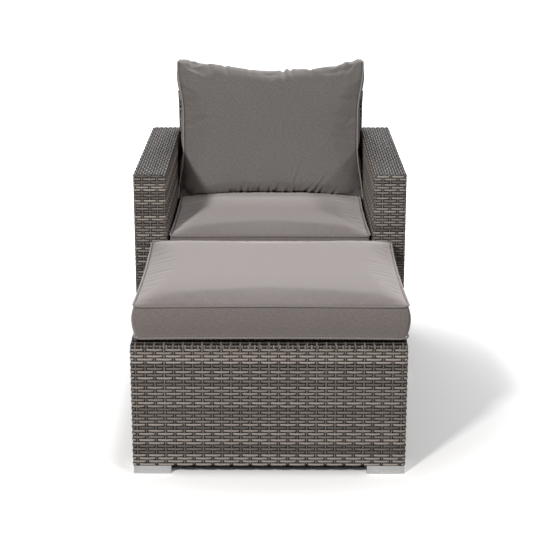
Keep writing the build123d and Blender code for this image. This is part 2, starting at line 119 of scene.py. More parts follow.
# Shares of a quarter turn where rows and stakes get their points
ROW_TURN = (0.0, 0.33, 0.67, 1.0)
STAKE_TURN = (0.0, 0.25, 0.5, 0.75, 1.0)

# The tones that strands are drawn from: dark, middle and light
WEFT_TONES = [0.24, 0.32, 0.5, 0.55, 0.62, 0.74, 0.88, 0.92]
STAKE_TONES = [0.36, 0.42, 0.48]
# The top strands draw from lower tones than the wefts: painted shade that darkens the tops
DECK_TONES = [0.38, 0.48, 0.58]
TONE_DRIFT = 0.07


# Camera

PHOTO_SIDE_PX = 540
FOCAL_PX = 1453
SENSOR = 36.0
CAMERA_X = 13.6 * MM
CAMERA_YAW = 0.0033
CAMERA_AHEAD = 4.0249
CAMERA_HEIGHT = 1.5317
CAMERA_PITCH = 0.2866


def add_camera():
    """The camera at the photograph's viewing angle."""
    data = bpy.data.cameras.new("camera")
    data.sensor_width = SENSOR
    data.lens = FOCAL_PX * SENSOR / PHOTO_SIDE_PX
    camera = bpy.data.objects.new("camera", data)
    camera.location = (CAMERA_X, CHAIR_FRONT - CAMERA_AHEAD, CAMERA_HEIGHT)
    camera.rotation_euler = (math.pi / 2 - CAMERA_PITCH, 0, CAMERA_YAW)
    bpy.context.scene.collection.objects.link(camera)
    bpy.context.scene.camera = camera


add_camera()


# Shader maths

class Value:
    """A shader socket that can be added, multiplied and so on like a number."""

    def __init__(self, finish, socket):
        self.finish = finish
        self.socket = socket

    def maths(self, operation, first, second=0.0):
        return self.finish.node("ShaderNodeMath", {0: first, 1: second}, operation=operation)

    def __add__(self, other):
        return self.maths("ADD", self, other)

    __radd__ = __add__

    def __sub__(self, other):
        return self.maths("SUBTRACT", self, other)

    def __rsub__(self, other):
        return self.maths("SUBTRACT", other, self)

    def __mul__(self, other):
        return self.maths("MULTIPLY", self, other)

    __rmul__ = __mul__

    def __pow__(self, other):
        return self.maths("POWER", self, other)

    def sine(self):
        return self.maths("SINE", self)

    def size(self):
        return self.maths("ABSOLUTE", self)

    def step(self, low, high):
        """Runs from 0 at low to 1 at high, with soft ends."""
        inputs = {"Value": self, "From Min": low, "From Max": high}
        return self.finish.node("ShaderNodeMapRange", inputs, interpolation_type="SMOOTHSTEP")


class Finish:
    """A material under construction."""

    def __init__(self, name):
        self.material = bpy.data.materials.new(name)
        self.material.use_nodes = True
        self.tree = self.material.node_tree
        self.shader = self.tree.nodes["Principled BSDF"]

    def put(self, socket, value):
        """Links a value to a socket, or sets a constant on it."""
        if isinstance(value, Value):
            self.tree.links.new(value.socket, socket)
        else:
            socket.default_value = value

    def node(self, kind, inputs=None, output=0, **settings):
        """Adds one node: settings first, then its sockets, and gives back one of its outputs."""
        node = self.tree.nodes.new(kind)
        for key, value in settings.items():
            setattr(node, key, value)
        for key, value in (inputs or {}).items():
            self.put(node.inputs[key], value)
        return Value(self, node.outputs[output])

    def place(self):
        """Where a point lies in its own piece, in metres."""
        return self.node("ShaderNodeTexCoord", output=3)

    def mark(self, name):
        """A number that the mesh holds at each point."""
        return self.node("ShaderNodeAttribute", output=2, attribute_name=name)

    def noise(self, vector, scale, detail=2.0, rough=0.5):
        inputs = {"Vector": vector, "Scale": scale, "Detail": detail, "Roughness": rough}
        return self.node("ShaderNodeTexNoise", inputs)

    def vector(self, x, y, z):
        return self.node("ShaderNodeCombineXYZ", {0: x, 1: y, 2: z})

    def parts(self, vector):
        """The three numbers of a vector."""
        return [self.node("ShaderNodeSeparateXYZ", {0: vector}, output=k) for k in range(3)]

    def ramp(self, factor, *stops):
        """A colour that runs through stops, each a position and a colour."""
        value = self.node("ShaderNodeValToRGB", {0: factor})
        elements = value.socket.node.color_ramp.elements
        for position, _ in stops[1:-1]:
            elements.new(position)
        for element, (position, colour) in zip(elements, stops):
            element.position = position
            element.color = (*colour, 1.0)
        return value

    def tint(self, colour, factor):
        """A colour multiplied by a number that varies."""
        grey = self.vector(factor, factor, factor)
        inputs = {"Factor": 1.0, 6: colour, 7: grey}
        return self.node("ShaderNodeMix", inputs, output=2, data_type="RGBA", blend_type="MULTIPLY")

    def bump(self, height, distance, strength=1.0):
        return self.node("ShaderNodeBump", {"Height": height, "Distance": distance, "Strength": strength})

    def surface(self, **inputs):
        for key, value in inputs.items():
            self.put(self.shader.inputs[key.replace("_", " ")], value)
        return self.material


FABRIC_COLOUR = (0.214, 0.184, 0.174)
# The back cushion's cloth is the cushion cloth again, its colour and sheen set apart to how light falls on
# it: painted light and shade
BACK_CLOTH_LIT_COLOUR = (0.226, 0.213, 0.202)
PIPING_COLOUR = (0.255, 0.23, 0.22)
# The back welts are coloured far lighter than the back cloth, as a painted highlight along them
BACK_PIPING_LIT_COLOUR = (0.40, 0.375, 0.355)
CLOTH_SHEEN = 1.0
BACK_LIT_SHEEN = 0.5
CLOTH_SHEEN_ROUGHNESS = 0.58
# How dark the painted shade beside the welts is
SEAM_SHADE = 0.55
CLOTH_SHEEN_TINT = (1.0, 0.93, 0.92, 1.0)


def wicker_finish():
    """Extruded strands in three mixed tones, with fine grooves along them, and painted shade on their flanks
    and in their dips under the stakes.
    """
    make = Finish("wicker")
    tone = make.mark("strand")
    across, along, _ = make.parts(make.node("ShaderNodeUVMap"))
    drift = make.noise(make.vector(across * 0.6, along * 9.0, tone * 61.0), 1.0, 2.0)
    grooves = make.noise(make.vector(across * 26.0, along * 14.0, tone * 37.0), 1.0, 3.0, 0.6)
    mix = tone + (drift - 0.5) * 0.22
    colour = make.ramp(
        mix,
        (0.10, (0.142, 0.124, 0.113)),
        (0.40, (0.218, 0.190, 0.172)),
        (0.62, (0.326, 0.286, 0.260)),
        (0.92, (0.505, 0.445, 0.405)),
    )
    # Painted shade: each strand darker towards its flanks, where the gaps between rows fall into shade
    edge = ((across - 0.4) * 2.5).size().step(0.27, 0.58)
    # Painted shade where a strand dips under a stake, and on the ottoman's rim under its cushion
    painted_dip_shade = make.mark("painted_dip_shade")
    shade = (1 - edge * 0.93) * (1 - painted_dip_shade * 0.96) * (0.86 + grooves * 0.28)
    height = grooves * 0.6 - edge * 0.4
    return make.surface(
        Base_Color=make.tint(colour, shade),
        Roughness=0.42 + grooves * 0.22,
        Normal=make.bump(height, 0.25 * MM, 0.6),
        Specular_IOR_Level=0.2,
    )


def cloth_finish(name, colour, sheen=CLOTH_SHEEN):
    """Finely woven outdoor cloth: crossing threads, uneven slubs and a faint mottle, with painted shade
    beside the welts.
    """
    make = Finish(name)
    across, along, _ = make.parts(make.node("ShaderNodeUVMap"))
    thread = 2 * math.pi / (1.5 * MM)
    weave = (across * thread).sine() * (along * thread).sine()
    fleck = make.noise(make.vector(across * 420.0, along * 150.0, 0.0), 1.0, 3.0, 0.75)
    slub = make.noise(make.vector(across * 110.0, along * 330.0, 3.0), 1.0, 3.0, 0.75)
    mottle = make.noise(make.place(), 11.0, 3.0, 0.6)
    # Painted shade in a narrow band beside the welts, where the seams fall into shade
    seam = make.mark("seam").step(0.5, 0.9)
    shade = (fleck * 0.95 + slub * 1.05 + weave * 0.04 + (mottle - 0.5) * 0.12) * (1 - seam * SEAM_SHADE)
    height = weave * 0.5 + fleck * 0.5 + slub * 0.5
    return make.surface(
        Base_Color=make.tint((*colour, 1.0), shade),
        Roughness=0.9 - fleck * 0.08,
        Normal=make.bump(height, 0.12 * MM, 0.5),
        Sheen_Weight=sheen,
        Sheen_Roughness=CLOTH_SHEEN_ROUGHNESS,
        Sheen_Tint=CLOTH_SHEEN_TINT,
        Specular_IOR_Level=0.2,
    )


def brushed_finish(name, colour, rough=0.32, stretch=(6.0, 6.0, 900.0)):
    """Brushed or plated metal, with fine lines along one way."""
    make = Finish(name)
    x, y, z = make.parts(make.place())
    lines = make.noise(make.vector(x * stretch[0], y * stretch[1], z * stretch[2]), 1.0, 3.0, 0.6)
    wear = make.noise(make.place(), 35.0, 3.0)
    return make.surface(
        Base_Color=make.tint((*colour, 1.0), 0.9 + lines * 0.2),
        Metallic=1.0,
        Roughness=rough + lines * 0.16 + wear * 0.08,
        Normal=make.bump(lines, 0.04 * MM, 0.4),
    )


def painted_finish(name, colour):
    """Powder-coated tube: a fine orange-peel skin."""
    make = Finish(name)
    peel = make.noise(make.place(), 900.0, 2.0)
    dust = make.noise(make.place(), 14.0, 3.0)
    return make.surface(
        Base_Color=make.tint((*colour, 1.0), 0.8 + dust * 0.4),
        Roughness=0.5 + dust * 0.12,
        Normal=make.bump(peel, 0.05 * MM, 0.5),
    )


def matt_finish(name, colour, scale, depth):
    """Rubber or foam, with a grain of its own scale and depth."""
    make = Finish(name)
    grain = make.noise(make.place(), scale, 3.0, 0.6)
    return make.surface(
        Base_Color=make.tint((*colour, 1.0), 0.85 + grain * 0.3),
        Roughness=0.8 + grain * 0.1,
        Normal=make.bump(grain, depth, 0.6),
        Specular_IOR_Level=0.25,
    )


def zip_finish():
    """Zip tape with the teeth of its coil drawn along X."""
    make = Finish("zip")
    x, y, z = make.parts(make.place())
    teeth = (x * (2 * math.pi / (1.6 * MM))).sine().step(-0.6, 0.6)
    threads = make.noise(make.vector(x * 500.0, y * 500.0, z * 1500.0), 1.0, 2.0)
    return make.surface(
        Base_Color=make.tint((0.13, 0.12, 0.115, 1.0), 0.6 + teeth * 0.5 + threads * 0.3),
        Roughness=0.6 + threads * 0.2,
        Normal=make.bump(teeth + threads * 0.3, 0.3 * MM, 0.5),
    )


finishes = {
    "wicker": wicker_finish(),
    "frame": painted_finish("frame_paint", (0.030, 0.027, 0.025)),
    "brackets": painted_finish("bracket_paint", (0.035, 0.032, 0.030)),
    "feet": brushed_finish("brushed_feet", (0.62, 0.62, 0.62)),
    "fasteners": brushed_finish("plated_steel", (0.58, 0.58, 0.57), 0.28, (40.0, 40.0, 40.0)),
    "zip_slider": brushed_finish("slider_metal", (0.30, 0.29, 0.285), 0.3, (60.0, 60.0, 60.0)),
    "fabric": cloth_finish("cushion_cloth", FABRIC_COLOUR),
    "back_lit_fabric": cloth_finish("back_cushion_lit_cloth", BACK_CLOTH_LIT_COLOUR, BACK_LIT_SHEEN),
    "piping": cloth_finish("piping_cloth", PIPING_COLOUR),
    "back_piping": cloth_finish("back_piping_lit_cloth", BACK_PIPING_LIT_COLOUR, BACK_LIT_SHEEN),
    "foam": matt_finish("foam", (0.78, 0.74, 0.62), 420.0, 0.4 * MM),
    "glides": matt_finish("glide_rubber", (0.022, 0.022, 0.022), 240.0, 0.1 * MM),
    "zip": zip_finish(),
}
for row in frame["record"]["subparts"]:
    # The back cushion gets the separately lit copy of the cushion cloth
    finish = "back_lit_fabric" if row["node"] == "back_cushion_cover" else row["material_slot"]
    for material_slot in frame["nodes"][row["node"]].material_slots:
        material_slot.material = finishes[finish]


# Modelling helpers

def deselect():
    """Nothing stays selected, and the object mode is on."""
    if bpy.context.object and bpy.context.object.mode != "OBJECT":
        bpy.ops.object.mode_set(mode="OBJECT")
    bpy.ops.object.select_all(action="DESELECT")


def pick(objects):
    """Selects some objects alone."""
    deselect()
    for piece in objects:
        piece.select_set(True)
    bpy.context.view_layer.objects.active = objects[0]


def finish_piece(piece, name, body, slot, nodes, smooth=STRAND_SMOOTH, finish=None):
    """Names a piece and gives it its shading, the material of its slot or finish, and its body, and hides the
    nodes that it stands for.
    """
    pick([piece])
    piece.name = name
    piece.data.name = name
    bpy.ops.object.shade_smooth_by_angle(angle=math.radians(smooth))
    piece.data.materials.clear()
    piece.data.materials.append(finishes[finish or slot])
    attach(piece, body)
    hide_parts(*nodes)


def read_points(piece, what="co"):
    """The places of a mesh's points, or their normals."""
    values = np.empty(len(piece.data.vertices) * 3)
    piece.data.vertices.foreach_get(what, values)
    return values.reshape(-1, 3)


def write_points(piece, points):
    piece.data.vertices.foreach_set("co", np.asarray(points, dtype=np.float32).ravel())
    piece.data.update()


def mark_points(mesh, name, values):
    """Writes one number for each point, for the materials."""
    mark = mesh.attributes.new(name, "FLOAT", "POINT")
    mark.data.foreach_set("value", np.asarray(values, dtype=np.float32))


HALF_ROUND = [(-0.5, 0.0), (-0.38, 0.66), (0.0, 1.0), (0.38, 0.66), (0.5, 0.0)]
ROUND = [(0.5 * math.cos(k * math.pi / 5), 0.5 * math.sin(k * math.pi / 5)) for k in range(9, -1, -1)]
blanks = {}


def strand_blank(columns, rows):
    """A flat grid with as many columns and rows of faces as a strand needs, modelled once for each size."""
    if (columns, rows) not in blanks:
        deselect()
        bpy.ops.mesh.primitive_grid_add(x_subdivisions=columns, y_subdivisions=rows, size=1)
        grid = bpy.context.object
        place = read_points(grid)
        column = np.rint((place[:, 0] + 0.5) * columns).astype(int)
        row = np.rint((place[:, 1] + 0.5) * rows).astype(int)
        corner = np.empty(len(grid.data.loops), dtype=int)
        grid.data.loops.foreach_get("vertex_index", corner)
        blanks[columns, rows] = grid.data, column, row, corner
        bpy.data.objects.remove(grid)
    return blanks[columns, rows]


def lay_strand(path, up, width, height, closed=False, section=HALF_ROUND, tones=WEFT_TONES, painted_dip_shade=None):
    """A solid strand along a path, its curved side towards up, with a UV map across, and along in metres."""
    painted_dip_shade = np.zeros(len(path)) if painted_dip_shade is None else painted_dip_shade
    path = np.asarray(path, dtype=float)
    up = np.asarray(up, dtype=float)
    if closed:
        forward = np.roll(path[:-1], -1, axis=0) - np.roll(path[:-1], 1, axis=0)
        forward = np.vstack([forward, forward[:1]])
    else:
        forward = np.gradient(path, axis=0)
    side = np.cross(forward, up)
    side /= np.linalg.norm(side, axis=1, keepdims=True)
    shape = np.array(section + section[:1])
    points = path[:, None] + side[:, None] * (shape[None, :, :1] * width)
    points = points + up[:, None] * (shape[None, :, 1:] * height)
    length = np.concatenate([[0.0], np.cumsum(np.linalg.norm(np.diff(path, axis=0), axis=1))])
    if not closed:
        middle = points[:, :-1].mean(axis=1)
        first = np.repeat(middle[:1, None], len(shape), axis=1)
        last = np.repeat(middle[-1:, None], len(shape), axis=1)
        points = np.concatenate([first, points, last])
        length = np.concatenate([length[:1], length, length[-1:]])
        painted_dip_shade = np.concatenate([painted_dip_shade[:1], painted_dip_shade, painted_dip_shade[-1:]])
    blank, column, row, corner = strand_blank(len(section), len(points) - 1)
    mesh = blank.copy()
    mesh.vertices.foreach_set("co", points[row, column].astype(np.float32).ravel())
    uv = np.stack([column[corner] / len(section), length[row[corner]]], axis=1)
    mesh.uv_layers[0].data.foreach_set("uv", uv.astype(np.float32).ravel())
    tone = random.choice(tones) + random.uniform(-TONE_DRIFT, TONE_DRIFT)
    mark_points(mesh, "strand", np.full(len(mesh.vertices), tone))
    mark_points(mesh, "painted_dip_shade", painted_dip_shade[row])
    piece = bpy.data.objects.new("strand", mesh)
    bpy.context.scene.collection.objects.link(piece)
    return piece


def lay_stake(path, up, closed=False):
    return lay_strand(path, up, STAKE_WIDTH, STAKE_HEIGHT, closed, tones=STAKE_TONES)


def join_strands(strands, name, body, slot, nodes, place=None, spread=None, finish=None):
    """Joins strands into one piece, closes their seams, and sets them in place."""
    pick(strands)
    bpy.ops.object.join()
    piece = bpy.context.object
    if spread:
        write_points(piece, spread(read_points(piece)))
    if place is not None:
        piece.data.transform(place)
    bpy.ops.object.mode_set(mode="EDIT")
    bpy.ops.mesh.select_all(action="SELECT")
    bpy.ops.mesh.remove_doubles(threshold=WELD_DISTANCE)
    bpy.ops.object.mode_set(mode="OBJECT")
    finish_piece(piece, name, body, slot, nodes, finish=finish)


# Weaving

def ring_path(length, width, radius, places):
    """Points and outward normals on a rounded rectangle, at distances from the middle of its low end."""
    half_u, half_v = length / 2 - radius, width / 2 - radius
    quarter = radius * math.pi / 2
    starts = np.cumsum([-half_v] + [2 * half + quarter for half in (half_v, half_u, half_v, half_u)])
    side = np.searchsorted(starts[1:] - quarter, places, side="right")
    gone = np.asarray(places) - starts[side]
    angle = math.pi - side * math.pi / 2 + np.maximum(-gone, 0.0) / radius
    outward = np.column_stack([np.cos(angle), np.sin(angle)]).round(15)
    onward = np.column_stack([outward[:, 1], -outward[:, 0]])
    corners = np.array([(-half_u, -half_v), (-half_u, half_v), (half_u, half_v), (half_u, -half_v)])
    points = corners[side % 4] + outward * radius + onward * np.maximum(gone, 0.0)[:, None]
    return points, outward


def ring_length(length, width, radius):
    return 2 * (length + width) - 8 * radius + 2 * math.pi * radius


def corner_places(length, width, radius, shares):
    """Distances along a ring at these shares of each corner's turn, the first two corners first."""
    quarter = radius * math.pi / 2
    first = width / 2 - radius
    starts = [first, first + quarter + length - 2 * radius]
    starts += [ring_length(length, width, radius) - start - quarter for start in starts]
    return [start + share * quarter for start in starts for share in shares]


def weft_run(stakes, parity, extra, start, end, dive=DIVE_START):
    """Where a weft needs its points, and how deep it lies there, as it goes over and under the stakes."""
    knots = []
    dives = np.broadcast_to(dive, len(stakes))
    for k, stake in enumerate(stakes):
        if (k + parity) % 2 == 0:
            steps = [(-STAKE_WIDTH / 2, OVER), (STAKE_WIDTH / 2, OVER)]
        else:
            far = dives[k]
            steps = [(-far, SHOULDER), (-DIVE_END, UNDER), (DIVE_END, UNDER), (far, SHOULDER)]
        knots += [(stake + step, depth) for step, depth in steps]
    inner = [place for place, _ in knots if start < place < end]
    bends = [place for place in extra if start < place < end]
    inner += [place for place in bends if all(abs(place - knot) > KNOT_GAP for knot in inner)]
    places = np.array(sorted([start, end] + inner))
    return places, np.interp(places, *zip(*knots))


def sunk_share(level, top=SHOULDER, bottom=UNDER):
    """From 0 on a weft's visible part to 1 where it lies under a stake, for the painted shade in its dips."""
    return np.clip((top - level) / (top - bottom), 0.0, 1.0)


def ring_rows(length, width, low, high, count, clear, row_pitch):
    """Level rows all round a box, each over and under the stakes in turn, up to a clear rim."""
    around = ring_length(length, width, EDGE_RADIUS)
    pitch = around / count
    stakes = [k * pitch for k in range(-1, count + 2)]
    arcs = corner_places(length, width, EDGE_RADIUS, ROW_TURN)
    rows = round((high - low - clear) / row_pitch)
    pitch = (high - low - clear) / rows
    strands = []
    for row in range(rows):
        places, level = weft_run(stakes, row % 2, arcs, 0.0, around)
        points, outward = ring_path(length, width, EDGE_RADIUS, places)
        level[-1] = level[0]
        flat = points + outward * level[:, None]
        height = low + (row + 0.5) * pitch + random.uniform(-ROW_JITTER, ROW_JITTER)
        path = np.column_stack([flat, np.full(len(flat), height)])
        up = np.column_stack([outward, np.zeros(len(flat))])
        width_here = pitch * WEFT_SHARE * random.uniform(*ROW_WIDTHS)
        strands.append(lay_strand(path, up, width_here, WEFT_HEIGHT, closed=True, painted_dip_shade=sunk_share(level)))
    return strands


def sort_stakes(length, width, count):
    """Even steps round a box: places along its long sides, and points with outward normals on the rest."""
    around = ring_length(length, width, EDGE_RADIUS)
    ring = ring_path(length, width, EDGE_RADIUS, [k * around / count for k in range(count)])
    along, rest = set(), []
    for point, outward in zip(*ring):
        if abs(outward[1]) > LONG_SIDE_FACING and abs(point[0]) < length / 2 - EDGE_RADIUS:
            along.add(round(point[0], 6))
        else:
            rest.append((point, outward))
    return sorted(along), rest


def side_stakes(along, width, low, high, closed):
    """Stakes that run up one long side, over the top and down the other side."""
    tall = high - low
    begin = 0.0 if closed else width / 2 - LIP
    end = ring_length(tall, width, TOP_RADIUS) - begin
    inner = [place for place in corner_places(tall, width, TOP_RADIUS, STAKE_TURN) if begin < place < end]
    section, normals = ring_path(tall, width, TOP_RADIUS, sorted([begin, end] + inner))
    across = np.zeros(len(section))
    up = np.column_stack([across, normals[:, 1], normals[:, 0]])
    path = np.column_stack([across, section[:, 1], section[:, 0] + (low + high) / 2]) + up * STAKE_FLOOR
    return [lay_stake(path + (u, 0, 0), up, closed) for u in along]


def end_stakes(ends, low, high, clear):
    """Stakes of the two ends and the corners, turned in under the box and over its top edge."""
    tall = high - low
    inner = corner_places(tall, 2 * LIP, TOP_RADIUS, STAKE_TURN)[:2 * len(STAKE_TURN)]
    section, normals = ring_path(tall, 2 * LIP, TOP_RADIUS, [0.0] + inner + [inner[-1] + clear])
    strands = []
    for point, outward in ends:
        flat = point + outward * (section[:, 1:] - LIP)
        up = np.column_stack([outward * normals[:, 1:], normals[:, 0]])
        path = np.column_stack([flat, section[:, 0] + (low + high) / 2]) + up * STAKE_FLOOR
        strands.append(lay_stake(path, up))
    return strands


def deck_rows(start, end, half_width, top, along, margin, wrap, wrap_end=True, recess=0.0):
    """Strands along a top from end to end, over and under the cross stakes, and the stakes along its rims."""
    quarter = TOP_RADIUS * math.pi / 2
    lead = wrap + quarter
    flat = end - start - TOP_RADIUS * (2 if wrap_end else 1)
    total = lead + flat + (lead if wrap_end else 0.0)
    rim = wrap - RIM_STAKE_UP if wrap > TUCK else lead - quarter * 0.5
    rims = [rim]
    edges = [(0.0, 1)]
    bends = [share * quarter for share in STAKE_TURN]
    marks = [TUCK] + [wrap + bend for bend in bends] + [lead + recess]
    if wrap_end:
        rims.append(total - rim)
        edges.append((total, -1))
        marks += [total - TUCK] + [lead + flat + bend for bend in bends]
    stakes = rims[:1] + [lead + u - start - TOP_RADIUS for u in along] + rims[1:]
    dives = [DIVE_START] + [DECK_DIVE_START] * len(along) + [DIVE_START] * len(rims[1:])
    count = round(2 * (half_width - margin) / DECK_PITCH)
    pitch = 2 * (half_width - margin) / count
    tall = 2 * (TOP_RADIUS + LIP)
    corner = (start + TOP_RADIUS + flat / 2, top - tall / 2)

    def edge_path(places):
        """Points and normals over the top and its rounded ends."""
        ring = np.asarray(places) + LIP - wrap
        points, normals = ring_path(flat + 2 * TOP_RADIUS, tall, TOP_RADIUS, ring)
        return points + corner, normals

    strands = []
    for k in range(count):
        across = -half_width + margin + (k + 0.5) * pitch
        places, level = weft_run(stakes, k % 2, marks, 0.0, total, dives)
        for edge, way in edges:
            gone = (places - edge) * way
            level[gone < TUCK / 2] = UNDER
            # Strands sunk under the ottoman's cushion get full painted shade there, standing for its shadow
            if recess:
                level[(gone > lead - quarter * RIM_SHARE) & (gone <= lead + recess)] = UNDER
        points, normals = edge_path(places)
        points = points + normals * level[:, None]
        path = np.column_stack([points[:, 0], np.full(len(places), across), points[:, 1]])
        up = np.column_stack([normals[:, 0], np.zeros(len(places)), normals[:, 1]])
        painted_dip_shade = sunk_share(level, OVER, DECK_DARK)
        strands.append(lay_strand(path, up, pitch * WEFT_SHARE, WEFT_HEIGHT, painted_dip_shade=painted_dip_shade, tones=DECK_TONES))
    for point, normal in zip(*edge_path(rims)):
        u, height = point + normal * STAKE_FLOOR
        rim_path = [(u, v, height) for v in (margin - half_width, half_width - margin)]
        strands.append(lay_stake(rim_path, [(normal[0], 0.0, normal[1])] * 2))
    return strands


def weave_box(label, length, width, low, high, count, closed, place, body, side_node, top_node, clear,
              row_pitch=ROW_PITCH, spread=None):
    """The whole woven skin of a box: rows, stakes, top, and underside if it is closed."""
    def join(strands, name, node, placed=place):
        join_strands(strands, f"{label}_{name}", body, "wicker", [node], placed, spread=spread)

    rows = ring_rows(length, width, low, high, count, clear, row_pitch)
    if len(rows) > ROWS_IN_ONE_PIECE:
        half = len(rows) // 2
        join(rows[half:], "upper_rows", side_node)
        rows = rows[:half]
    join(rows, "rows", side_node)
    along, ends = sort_stakes(length, width, count)
    stakes = side_stakes(along, width, low, high, closed) + end_stakes(ends, low, high, clear)
    join(stakes, "stakes", side_node)
    wrap = clear - TOP_RADIUS + TUCK
    recess = 0.0 if closed else RECESS
    deck = deck_rows(-length / 2, length / 2, width / 2, high, along, RIM_MARGIN, wrap, recess=recess)
    join(deck, "top_strands", top_node)
    if closed:
        turned = place @ Matrix.Translation((0, 0, low + high)) @ Matrix.Rotation(math.pi, 4, "X")
        under = deck_rows(-length / 2, length / 2, width / 2, high, along, RIM_MARGIN, UNDER_WRAP)
        join(under, "under_strands", side_node, turned)


def upright_box(low, high):
    """Turns a box's own length along +Y, and puts it over the middle of two corners."""
    middle = (low + high) / 2
    return Matrix.Translation((middle.x, middle.y, 0)) @ Matrix.Rotation(math.pi / 2, 4, "Z")


def weave_arms():
    for label, low, high in (("left_arm", arm_low, arm_high), ("right_arm", right_arm_low, right_arm_high)):
        size = high - low
        weave_box(label, size.y, size.x, low.z, arm_top, ARM_STAKES, True, upright_box(low, high), "armchair",
                  f"{label}_side_weave", f"{label}_top_weave", ARM_RIM)


def weave_ottoman():
    size = ottoman_high - ottoman_low
    weave_box("ottoman", size.y, size.x, ottoman_low.z, ottoman_top, OTTOMAN_STAKES, False,
              upright_box(ottoman_low, ottoman_high), "ottoman", "ottoman_side_weave", "ottoman_deck_weave",
              OTTOMAN_RIM, OTTOMAN_ROW_PITCH)


def spread_back(points):
    """The back panel widens a little above the arms."""
    above = np.clip((points[:, 2] - BACK_SPREAD_FROM) / BACK_SPREAD_OVER, 0.0, 1.0)
    points[:, 0] *= 1 + BACK_SPREAD * above
    return points


def weave_back():
    length = (BACK_HEIGHT - BACK_FOOT) / math.cos(BACK_LEAN)
    back_low, back_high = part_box("back_weave")
    top_front = CHAIR_REAR - BACK_SETBACK - BACK_THICKNESS / math.cos(BACK_LEAN)
    lean = Matrix.Translation((0, top_front, BACK_HEIGHT)) @ Matrix.Rotation(-BACK_LEAN, 4, "X")
    place = lean @ Matrix.Translation((0, BACK_THICKNESS / 2, -length))
    weave_box("back", back_high.x - back_low.x, BACK_THICKNESS, 0.0, length, BACK_STAKES, True, place,
              "armchair", "back_weave", "back_weave", ARM_RIM, spread=spread_back)


def weave_seat():
    """The seat deck, and the apron that hangs down its front."""
    half_width = deck_high.x
    pitch = 2 * half_width / SHEET_STAKES
    length = deck_high.y - deck_low.y
    count = int(length / pitch)
    along = [TOP_RADIUS + FIRST_STAKE + k * length / (count + 1) for k in range(count + 1)]
    along = [u for u in along if u < length - STAKE_WIDTH]
    strands = deck_rows(0.0, length, half_width, deck_high.z, along, SHEET_MARGIN, 0.0, wrap_end=False)
    for u in along:
        ends = [(u, v, deck_high.z + STAKE_FLOOR) for v in (-half_width, half_width)]
        strands.append(lay_stake(ends, [(0, 0, 1)] * 2))
    place = Matrix.Translation((0, deck_low.y, 0)) @ Matrix.Rotation(math.pi / 2, 4, "Z")
    join_strands(strands, "seat_deck_strands", "armchair", "wicker", ["seat_deck_weave"], place)
    stakes = [(k + 0.5) * pitch - half_width for k in range(SHEET_STAKES)]
    tall = deck_high.z - apron_low.z
    strands = []
    for row in range(int((tall - ARM_RIM) / ROW_PITCH)):
        places, level = weft_run(stakes, row % 2, [], -half_width, half_width)
        height = apron_low.z + (row + 0.5) * ROW_PITCH + random.uniform(-ROW_JITTER, ROW_JITTER)
        path = [(x, apron_low.y - depth, height) for x, depth in zip(places, level)]
        up = [(0, -1, 0)] * len(path)
        strands.append(lay_strand(path, up, ROW_PITCH * WEFT_SHARE, WEFT_HEIGHT, painted_dip_shade=sunk_share(level)))
    inner = corner_places(tall, 2 * LIP, EDGE_RADIUS, STAKE_TURN)[:len(STAKE_TURN) + 1]
    section, normals = ring_path(tall, 2 * LIP, EDGE_RADIUS, [0.0] + inner)
    across = np.zeros(len(section))
    up = np.column_stack([across, -normals[:, 1], normals[:, 0]])
    path = np.column_stack([across, LIP - section[:, 1], section[:, 0] + tall / 2]) + up * STAKE_FLOOR
    strands += [lay_stake(path + (x, apron_low.y, apron_low.z), up) for x in stakes]
    join_strands(strands, "seat_apron_strands", "armchair", "wicker", ["seat_apron_weave"])


weave_arms()
weave_ottoman()
weave_back()
weave_seat()


# Cushions

# The two box cushions, with the plans of their solids and a slightly lower boxing
SEAT_SIZE = (574 * MM, 612 * MM)
OTTOMAN_SIZE = (668 * MM, 606 * MM)
BOXING = 82 * MM
CROWN = 18 * MM
BASE_CROWN = 8 * MM
DRAW = 6 * MM
BULGE = 4.5 * MM
OTTOMAN_BULGE = 8.5 * MM
OTTOMAN_RIGHT_FULL = 9 * MM
REAR_PRESS = 9 * MM
PRESS_FROM = -0.2
PRESS_OVER = 0.6
CORNER = 22 * MM
REST_GAP = 0.3 * MM
CELL = 10 * MM
PIPING_WIDTH = 5.2 * MM
BACK_PIPING_WIDTH = 4.6 * MM
PIPING_OUT = 2.2 * MM
FULLNESS = 0.6
BOX_FLATNESS = 5
SEAM_STEP = 7 * MM
SEAM_INSET = 4 * MM
GATHERS = 30
COVER_SMOOTH = 50
ON_FACE = 0.999

# Cloth, and for each kind of cushion its pressure, its slack and how far a point may move
CLOTH_FRAMES = 20
CLOTH = {
    "quality": 6,
    "mass": 0.3,
    "tension_stiffness": 18,
    "compression_stiffness": 18,
    "shear_stiffness": 6,
    "bending_stiffness": 0.35,
}
BOX_STUFFING = (3.0, 0.004, 5 * MM)
BACK_STUFFING = (3.5, 0.02, 9 * MM)

# The back cushion, in its own frame: across, up the lean, and forward from its rear seam
BACK_CUSHION_WIDTH = 566 * MM
BACK_CUSHION_HEIGHT = 407 * MM
BACK_BOXING = 138 * MM
BACK_CROWN = 36 * MM
BACK_REAR_CROWN = 12 * MM
BACK_WAIST_DRAW = 9 * MM
BACK_EAR_SPREAD = 16 * MM
BACK_FOOT_SPREAD = 19 * MM
BACK_TOP_DRAW = 28 * MM
HANG_POWER = 1.6
TOP_CROWN_LOSS = 0.22
TOP_DIPS = [(-0.74, 0.22, 6 * MM), (0.66, 0.25, 13 * MM)]
BACK_DROP = 9 * MM
BACK_CORNER_DROP = 26 * MM
BACK_CORNER = 8 * MM
BACK_TOP_ROUND = 38 * MM
EAR_TRIM = 5 * MM
FOOT_TRIM = 5 * MM
BACK_BOTTOM_ROUND = 14 * MM
BACK_BULGE = 4 * MM
BACK_FLARE = 26 * MM
BACK_CORNER_FLARE = 30 * MM
